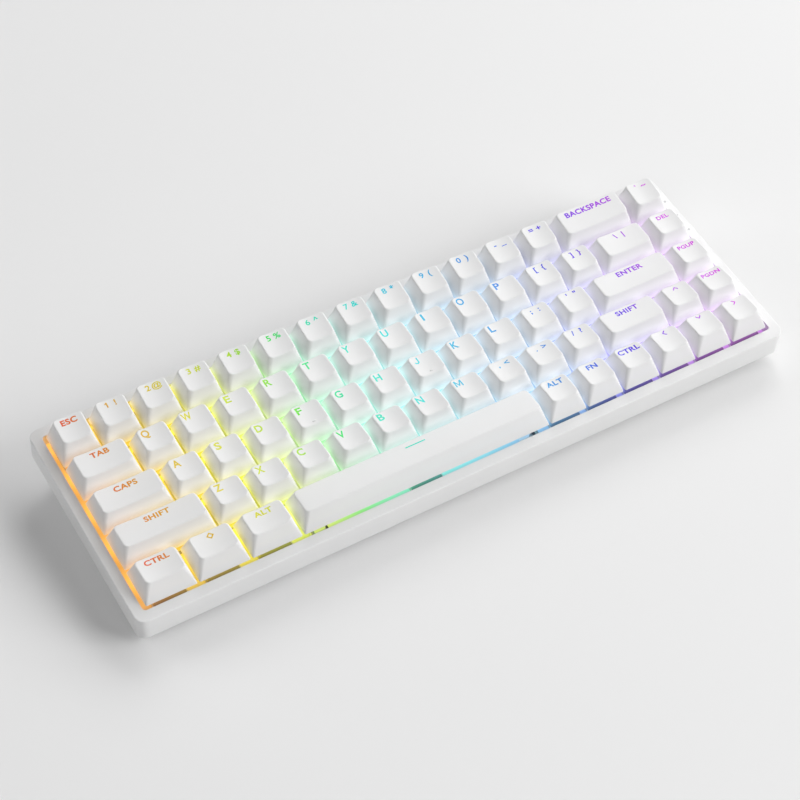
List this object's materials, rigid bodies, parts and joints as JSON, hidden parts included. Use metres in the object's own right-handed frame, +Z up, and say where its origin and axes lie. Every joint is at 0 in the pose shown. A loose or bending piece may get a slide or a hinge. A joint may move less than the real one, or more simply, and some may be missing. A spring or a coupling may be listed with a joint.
{
  "type": "mechanical keyboard",
  "caption": "Compact white mechanical keyboard with sculpted keycaps on spring switches, a sloping two-part case, coloured light under the keys, flip feet and a rear charging port.",
  "frame": {"origin": "middle of the footprint at desk level", "axes": "+X along the key rows to the right, +Y to the back edge, +Z up; the key deck slopes 6.5 degrees up to the back"},
  "size_m": [0.3164, 0.1073, 0.0405],
  "materials": {
    "case_white": "fine satin moulded shell",
    "keycap_white": "smooth satin moulded keycap",
    "legend_glow": "clear legend lit from below, hue runs along the row",
    "plate_white": "white powder coat",
    "foam_grey": "closed-cell foam",
    "board_white": "white solder mask",
    "housing_white": "moulded switch base",
    "housing_clear": "translucent switch cover",
    "spring_steel": "drawn wire",
    "contact_copper": "stamped strip",
    "socket_black": "moulded",
    "lamp_glow": "lamp lens, its colour runs along the row",
    "indicator_smoke": "smoked light pipe",
    "battery_foil": "foil pouch",
    "port_steel": "drawn shell",
    "pad_rubber": "moulded rubber"
  },
  "bodies": {
    "case": {"rim_frame": "case_white", "case_bottom": "case_white", "switch_plate": "plate_white", "sound_foam": "foam_grey", "circuit_board": "board_white", "switch_lower_housings": "housing_white", "switch_upper_housings": "housing_clear", "switch_springs": "spring_steel", "switch_contacts": "contact_copper", "hot_swap_sockets": "socket_black", "key_lamps": "lamp_glow", "stabiliser_housings": "housing_white", "plate_screws": "spring_steel", "indicator_pipes": "indicator_smoke", "battery": "battery_foil", "charging_port": "port_steel", "mode_switch_body": "socket_black", "rubber_feet": "pad_rubber"},
    "key_escape": {"key_escape": "keycap_white"},
    "keys_1_to_4": {"keys_1_to_4": "keycap_white"},
    "keys_5_to_8": {"keys_5_to_8": "keycap_white"},
    "keys_9_to_equals": {"keys_9_to_equals": "keycap_white"},
    "key_backspace": {"key_backspace": "keycap_white"},
    "stabiliser_wire_backspace": {"stabiliser_wire_backspace": "spring_steel"},
    "key_grave": {"key_grave": "keycap_white"},
    "key_tab": {"key_tab": "keycap_white"},
    "keys_q_to_r": {"keys_q_to_r": "keycap_white"},
    "keys_t_to_i": {"keys_t_to_i": "keycap_white"},
    "keys_o_to_bracket": {"keys_o_to_bracket": "keycap_white"},
    "key_backslash": {"key_backslash": "keycap_white"},
    "key_delete": {"key_delete": "keycap_white"},
    "key_caps_lock": {"key_caps_lock": "keycap_white"},
    "keys_a_to_f": {"keys_a_to_f": "keycap_white"},
    "keys_g_to_k": {"keys_g_to_k": "keycap_white"},
    "keys_l_to_quote": {"keys_l_to_quote": "keycap_white"},
    "key_enter": {"key_enter": "keycap_white"},
    "stabiliser_wire_enter": {"stabiliser_wire_enter": "spring_steel"},
    "key_page_up": {"key_page_up": "keycap_white"},
    "key_shift_left": {"key_shift_left": "keycap_white"},
    "stabiliser_wire_shift_left": {"stabiliser_wire_shift_left": "spring_steel"},
    "keys_z_to_v": {"keys_z_to_v": "keycap_white"},
    "keys_b_to_m": {"keys_b_to_m": "keycap_white"},
    "keys_comma_to_slash": {"keys_comma_to_slash": "keycap_white"},
    "key_shift_right": {"key_shift_right": "keycap_white"},
    "key_arrow_up": {"key_arrow_up": "keycap_white"},
    "key_page_down": {"key_page_down": "keycap_white"},
    "key_control_left": {"key_control_left": "keycap_white"},
    "key_system": {"key_system": "keycap_white"},
    "key_alt_left": {"key_alt_left": "keycap_white"},
    "key_space": {"key_space": "keycap_white"},
    "stabiliser_wire_space": {"stabiliser_wire_space": "spring_steel"},
    "key_alt_right": {"key_alt_right": "keycap_white"},
    "key_function": {"key_function": "keycap_white"},
    "key_control_right": {"key_control_right": "keycap_white"},
    "key_arrow_left": {"key_arrow_left": "keycap_white"},
    "key_arrow_down": {"key_arrow_down": "keycap_white"},
    "key_arrow_right": {"key_arrow_right": "keycap_white"},
    "mode_switch_thumb": {"mode_switch_thumb": "case_white"},
    "flip_foot_left": {"flip_foot_left": "case_white"},
    "flip_foot_right": {"flip_foot_right": "case_white"}
  },
  "joints": [
    {"name": "key_escape_press", "type": "slide", "parent": "case", "child": "key_escape", "axis": [0, 0.1132, -0.9936], "range_m": [0, 0.004], "stiffness_N_per_m": 80, "springref_m": -0.004, "deforming": ["switch_springs"]},
    {"name": "keys_1_to_4_press", "type": "slide", "parent": "case", "child": "keys_1_to_4", "axis": [0, 0.1132, -0.9936], "range_m": [0, 0.004], "stiffness_N_per_m": 320, "springref_m": -0.004, "deforming": ["switch_springs"]},
    {"name": "keys_5_to_8_press", "type": "slide", "parent": "case", "child": "keys_5_to_8", "axis": [0, 0.1132, -0.9936], "range_m": [0, 0.004], "stiffness_N_per_m": 320, "springref_m": -0.004, "deforming": ["switch_springs"]},
    {"name": "keys_9_to_equals_press", "type": "slide", "parent": "case", "child": "keys_9_to_equals", "axis": [0, 0.1132, -0.9936], "range_m": [0, 0.004], "stiffness_N_per_m": 320, "springref_m": -0.004, "deforming": ["switch_springs"]},
    {"name": "key_backspace_press", "type": "slide", "parent": "case", "child": "key_backspace", "axis": [0, 0.1132, -0.9936], "range_m": [0, 0.004], "stiffness_N_per_m": 80, "springref_m": -0.004, "deforming": ["switch_springs"]},
    {"name": "stabiliser_wire_backspace_turn", "type": "hinge", "parent": "case", "child": "stabiliser_wire_backspace", "pos_m": [0.1143, 0.02905, 0.02176], "axis": [1, 0, 0], "range_deg": [-26, 0]},
    {"name": "key_grave_press", "type": "slide", "parent": "case", "child": "key_grave", "axis": [0, 0.1132, -0.9936], "range_m": [0, 0.004], "stiffness_N_per_m": 80, "springref_m": -0.004, "deforming": ["switch_springs"]},
    {"name": "key_tab_press", "type": "slide", "parent": "case", "child": "key_tab", "axis": [0, 0.1132, -0.9936], "range_m": [0, 0.004], "stiffness_N_per_m": 80, "springref_m": -0.004, "deforming": ["switch_springs"]},
    {"name": "keys_q_to_r_press", "type": "slide", "parent": "case", "child": "keys_q_to_r", "axis": [0, 0.1132, -0.9936], "range_m": [0, 0.004], "stiffness_N_per_m": 320, "springref_m": -0.004, "deforming": ["switch_springs"]},
    {"name": "keys_t_to_i_press", "type": "slide", "parent": "case", "child": "keys_t_to_i", "axis": [0, 0.1132, -0.9936], "range_m": [0, 0.004], "stiffness_N_per_m": 320, "springref_m": -0.004, "deforming": ["switch_springs"]},
    {"name": "keys_o_to_bracket_press", "type": "slide", "parent": "case", "child": "keys_o_to_bracket", "axis": [0, 0.1132, -0.9936], "range_m": [0, 0.004], "stiffness_N_per_m": 320, "springref_m": -0.004, "deforming": ["switch_springs"]},
    {"name": "key_backslash_press", "type": "slide", "parent": "case", "child": "key_backslash", "axis": [0, 0.1132, -0.9936], "range_m": [0, 0.004], "stiffness_N_per_m": 80, "springref_m": -0.004, "deforming": ["switch_springs"]},
    {"name": "key_delete_press", "type": "slide", "parent": "case", "child": "key_delete", "axis": [0, 0.1132, -0.9936], "range_m": [0, 0.004], "stiffness_N_per_m": 80, "springref_m": -0.004, "deforming": ["switch_springs"]},
    {"name": "key_caps_lock_press", "type": "slide", "parent": "case", "child": "key_caps_lock", "axis": [0, 0.1132, -0.9936], "range_m": [0, 0.004], "stiffness_N_per_m": 80, "springref_m": -0.004, "deforming": ["switch_springs"]},
    {"name": "keys_a_to_f_press", "type": "slide", "parent": "case", "child": "keys_a_to_f", "axis": [0, 0.1132, -0.9936], "range_m": [0, 0.004], "stiffness_N_per_m": 320, "springref_m": -0.004, "deforming": ["switch_springs"]},
    {"name": "keys_g_to_k_press", "type": "slide", "parent": "case", "child": "keys_g_to_k", "axis": [0, 0.1132, -0.9936], "range_m": [0, 0.004], "stiffness_N_per_m": 320, "springref_m": -0.004, "deforming": ["switch_springs"]},
    {"name": "keys_l_to_quote_press", "type": "slide", "parent": "case", "child": "keys_l_to_quote", "axis": [0, 0.1132, -0.9936], "range_m": [0, 0.004], "stiffness_N_per_m": 240, "springref_m": -0.004, "deforming": ["switch_springs"]},
    {"name": "key_enter_press", "type": "slide", "parent": "case", "child": "key_enter", "axis": [0, 0.1132, -0.9936], "range_m": [0, 0.004], "stiffness_N_per_m": 80, "springref_m": -0.004, "deforming": ["switch_springs"]},
    {"name": "stabiliser_wire_enter_turn", "type": "hinge", "parent": "case", "child": "stabiliser_wire_enter", "pos_m": [0.11192, -0.0088, 0.01744], "axis": [1, 0, 0], "range_deg": [-26, 0]},
    {"name": "key_page_up_press", "type": "slide", "parent": "case", "child": "key_page_up", "axis": [0, 0.1132, -0.9936], "range_m": [0, 0.004], "stiffness_N_per_m": 80, "springref_m": -0.004, "deforming": ["switch_springs"]},
    {"name": "key_shift_left_press", "type": "slide", "parent": "case", "child": "key_shift_left", "axis": [0, 0.1132, -0.9936], "range_m": [0, 0.004], "stiffness_N_per_m": 80, "springref_m": -0.004, "deforming": ["switch_springs"]},
    {"name": "stabiliser_wire_shift_left_turn", "type": "hinge", "parent": "case", "child": "stabiliser_wire_shift_left", "pos_m": [-0.13097, -0.02773, 0.01529], "axis": [1, 0, 0], "range_deg": [-26, 0]},
    {"name": "keys_z_to_v_press", "type": "slide", "parent": "case", "child": "keys_z_to_v", "axis": [0, 0.1132, -0.9936], "range_m": [0, 0.004], "stiffness_N_per_m": 320, "springref_m": -0.004, "deforming": ["switch_springs"]},
    {"name": "keys_b_to_m_press", "type": "slide", "parent": "case", "child": "keys_b_to_m", "axis": [0, 0.1132, -0.9936], "range_m": [0, 0.004], "stiffness_N_per_m": 240, "springref_m": -0.004, "deforming": ["switch_springs"]},
    {"name": "keys_comma_to_slash_press", "type": "slide", "parent": "case", "child": "keys_comma_to_slash", "axis": [0, 0.1132, -0.9936], "range_m": [0, 0.004], "stiffness_N_per_m": 240, "springref_m": -0.004, "deforming": ["switch_springs"]},
    {"name": "key_shift_right_press", "type": "slide", "parent": "case", "child": "key_shift_right", "axis": [0, 0.1132, -0.9936], "range_m": [0, 0.004], "stiffness_N_per_m": 80, "springref_m": -0.004, "deforming": ["switch_springs"]},
    {"name": "key_arrow_up_press", "type": "slide", "parent": "case", "child": "key_arrow_up", "axis": [0, 0.1132, -0.9936], "range_m": [0, 0.004], "stiffness_N_per_m": 80, "springref_m": -0.004, "deforming": ["switch_springs"]},
    {"name": "key_page_down_press", "type": "slide", "parent": "case", "child": "key_page_down", "axis": [0, 0.1132, -0.9936], "range_m": [0, 0.004], "stiffness_N_per_m": 80, "springref_m": -0.004, "deforming": ["switch_springs"]},
    {"name": "key_control_left_press", "type": "slide", "parent": "case", "child": "key_control_left", "axis": [0, 0.1132, -0.9936], "range_m": [0, 0.004], "stiffness_N_per_m": 80, "springref_m": -0.004, "deforming": ["switch_springs"]},
    {"name": "key_system_press", "type": "slide", "parent": "case", "child": "key_system", "axis": [0, 0.1132, -0.9936], "range_m": [0, 0.004], "stiffness_N_per_m": 80, "springref_m": -0.004, "deforming": ["switch_springs"]},
    {"name": "key_alt_left_press", "type": "slide", "parent": "case", "child": "key_alt_left", "axis": [0, 0.1132, -0.9936], "range_m": [0, 0.004], "stiffness_N_per_m": 80, "springref_m": -0.004, "deforming": ["switch_springs"]},
    {"name": "key_space_press", "type": "slide", "parent": "case", "child": "key_space", "axis": [0, 0.1132, -0.9936], "range_m": [0, 0.004], "stiffness_N_per_m": 80, "springref_m": -0.004, "deforming": ["switch_springs"]},
    {"name": "stabiliser_wire_space_turn", "type": "hinge", "parent": "case", "child": "stabiliser_wire_space", "pos_m": [-0.02143, -0.04666, 0.01313], "axis": [1, 0, 0], "range_deg": [-26, 0]},
    {"name": "key_alt_right_press", "type": "slide", "parent": "case", "child": "key_alt_right", "axis": [0, 0.1132, -0.9936], "range_m": [0, 0.004], "stiffness_N_per_m": 80, "springref_m": -0.004, "deforming": ["switch_springs"]},
    {"name": "key_function_press", "type": "slide", "parent": "case", "child": "key_function", "axis": [0, 0.1132, -0.9936], "range_m": [0, 0.004], "stiffness_N_per_m": 80, "springref_m": -0.004, "deforming": ["switch_springs"]},
    {"name": "key_control_right_press", "type": "slide", "parent": "case", "child": "key_control_right", "axis": [0, 0.1132, -0.9936], "range_m": [0, 0.004], "stiffness_N_per_m": 80, "springref_m": -0.004, "deforming": ["switch_springs"]},
    {"name": "key_arrow_left_press", "type": "slide", "parent": "case", "child": "key_arrow_left", "axis": [0, 0.1132, -0.9936], "range_m": [0, 0.004], "stiffness_N_per_m": 80, "springref_m": -0.004, "deforming": ["switch_springs"]},
    {"name": "key_arrow_down_press", "type": "slide", "parent": "case", "child": "key_arrow_down", "axis": [0, 0.1132, -0.9936], "range_m": [0, 0.004], "stiffness_N_per_m": 80, "springref_m": -0.004, "deforming": ["switch_springs"]},
    {"name": "key_arrow_right_press", "type": "slide", "parent": "case", "child": "key_arrow_right", "axis": [0, 0.1132, -0.9936], "range_m": [0, 0.004], "stiffness_N_per_m": 80, "springref_m": -0.004, "deforming": ["switch_springs"]},
    {"name": "mode_switch_slide", "type": "slide", "parent": "case", "child": "mode_switch_thumb", "axis": [1, 0, 0], "range_m": [-0.002, 0.002]},
    {"name": "flip_foot_left_turn", "type": "hinge", "parent": "case", "child": "flip_foot_left", "pos_m": [-0.115, 0.038, 0.0031], "axis": [1, 0, 0], "range_deg": [0, 95]},
    {"name": "flip_foot_right_turn", "type": "hinge", "parent": "case", "child": "flip_foot_right", "pos_m": [0.115, 0.038, 0.0031], "axis": [1, 0, 0], "range_deg": [0, 95]}
  ],
  "couplings": [
    {"joint": "stabiliser_wire_backspace_turn", "follows": "key_backspace_press", "rad_per_m": -112.98},
    {"joint": "stabiliser_wire_enter_turn", "follows": "key_enter_press", "rad_per_m": -112.98},
    {"joint": "stabiliser_wire_shift_left_turn", "follows": "key_shift_left_press", "rad_per_m": -112.98},
    {"joint": "stabiliser_wire_space_turn", "follows": "key_space_press", "rad_per_m": -112.98}
  ]
}
